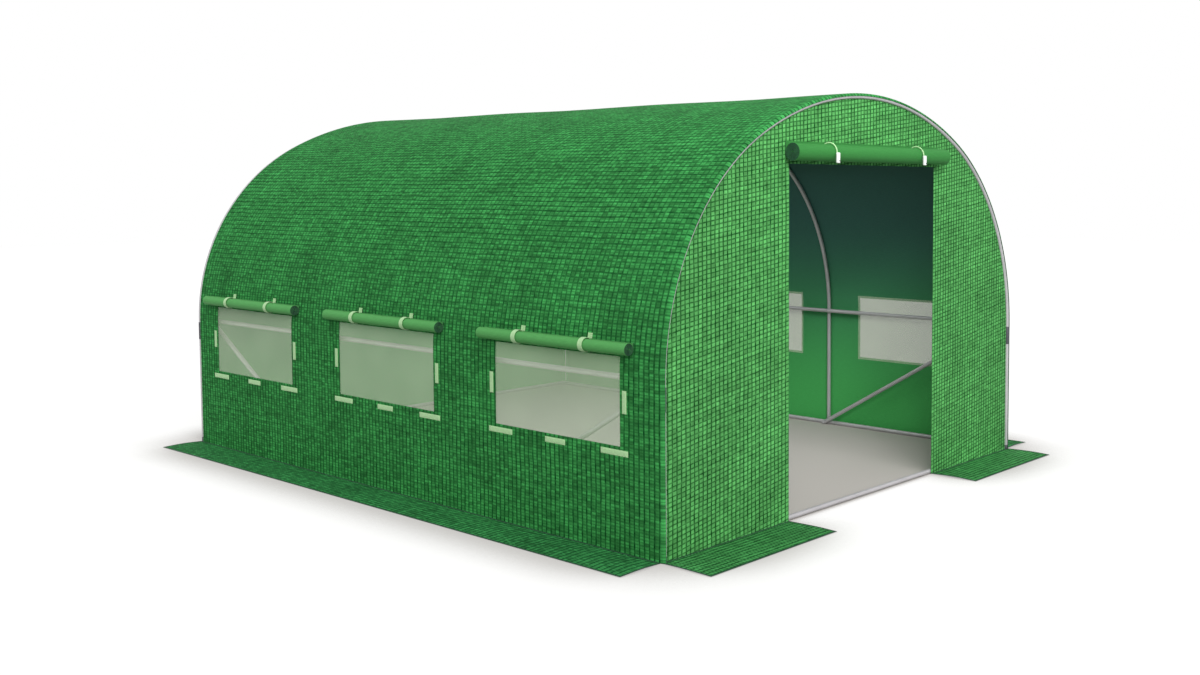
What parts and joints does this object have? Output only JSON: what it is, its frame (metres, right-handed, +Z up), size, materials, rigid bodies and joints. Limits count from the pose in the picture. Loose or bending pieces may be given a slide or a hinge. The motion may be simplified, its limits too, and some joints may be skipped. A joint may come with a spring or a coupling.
{
  "type": "polytunnel greenhouse",
  "caption": "Walk-in polytunnel greenhouse: bent steel hoops under a woven film cover, with an open doorway, windows with rolled covers, and ground skirts.",
  "frame": {"origin": "on the ground at the middle of the footprint, skirts included", "axes": "+X to the right across the tunnel seen from the door, +Y from the door end to the back, +Z up"},
  "size_m": [3.48, 4.538, 2.05],
  "materials": {
    "steel_tube": "galvanised steel tube, dull grey",
    "cover_film": "woven reinforced film, mid green",
    "end_film": "woven reinforced film, lighter green",
    "skirt_film": "woven reinforced film, dark green",
    "rolled_film": "rolled woven film, smooth green",
    "window_film": "milky translucent film",
    "webbing": "pale green webbing",
    "toggle_plastic": "white moulded plastic"
  },
  "bodies": {
    "root": {"back_arch": "steel_tube", "back_ground_tube": "steel_tube", "back_inner_arch": "steel_tube", "back_skirt": "skirt_film", "back_wall": "end_film", "door_roll": "rolled_film", "door_ties": "webbing", "door_toggles": "toggle_plastic", "front_arch": "steel_tube", "front_inner_arch": "steel_tube", "front_left_panel": "end_film", "front_left_skirt": "skirt_film", "front_over_door": "end_film", "front_right_panel": "end_film", "front_right_skirt": "skirt_film", "front_threshold": "steel_tube", "left_braces": "steel_tube", "left_ground_rail": "steel_tube", "left_legs": "steel_tube", "left_purlin": "steel_tube", "left_roll_straps": "webbing", "left_skirt": "skirt_film", "left_wall": "cover_film", "left_window_rolls": "rolled_film", "left_window_tabs": "webbing", "left_windows": "window_film", "ridge_purlin": "steel_tube", "right_braces": "steel_tube", "right_ground_rail": "steel_tube", "right_legs": "steel_tube", "right_purlin": "steel_tube", "right_roll_straps": "webbing", "right_skirt": "skirt_film", "right_wall": "cover_film", "right_window_rolls": "rolled_film", "right_window_tabs": "webbing", "right_windows": "window_film", "roof_crown": "cover_film", "roof_left": "cover_film", "roof_right": "cover_film"}
  },
  "joints": []
}
